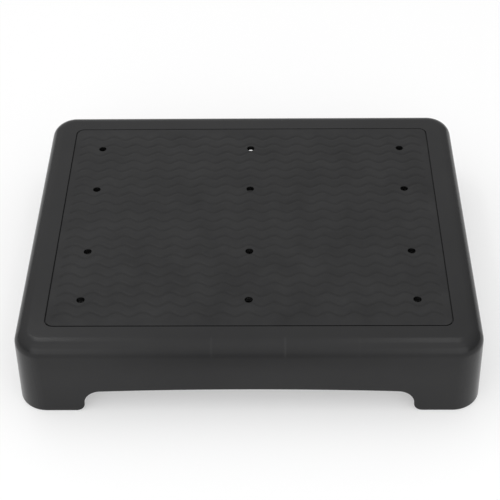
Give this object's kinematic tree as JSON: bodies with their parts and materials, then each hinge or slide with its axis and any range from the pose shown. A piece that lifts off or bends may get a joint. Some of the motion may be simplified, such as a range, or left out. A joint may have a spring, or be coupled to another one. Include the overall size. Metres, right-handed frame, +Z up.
{
  "type": "step stool",
  "caption": "Low moulded plastic step, open underneath, with an inset rubber tread mat, drain holes, arched skirts and screw-on rubber feet.",
  "frame": {"origin": "on the floor, under the middle of the step", "axes": "+X along the long side, +Y to the back, +Z up out of the tread"},
  "size_m": [0.52, 0.422, 0.1],
  "materials": {
    "moulding": "fine-grained black polypropylene, satin",
    "mat": "matt black rubber with a low wave tread",
    "foot": "matt black rubber",
    "steel": "zinc plated steel"
  },
  "bodies": {
    "root": {"step_body": "moulding", "tread_mat": "mat", "foot_front_left": "foot", "foot_front_right": "foot", "foot_back_left": "foot", "foot_back_right": "foot", "washer_front_left": "steel", "washer_front_right": "steel", "washer_back_left": "steel", "washer_back_right": "steel", "screw_front_left": "steel", "screw_front_right": "steel", "screw_back_left": "steel", "screw_back_right": "steel"}
  },
  "joints": []
}
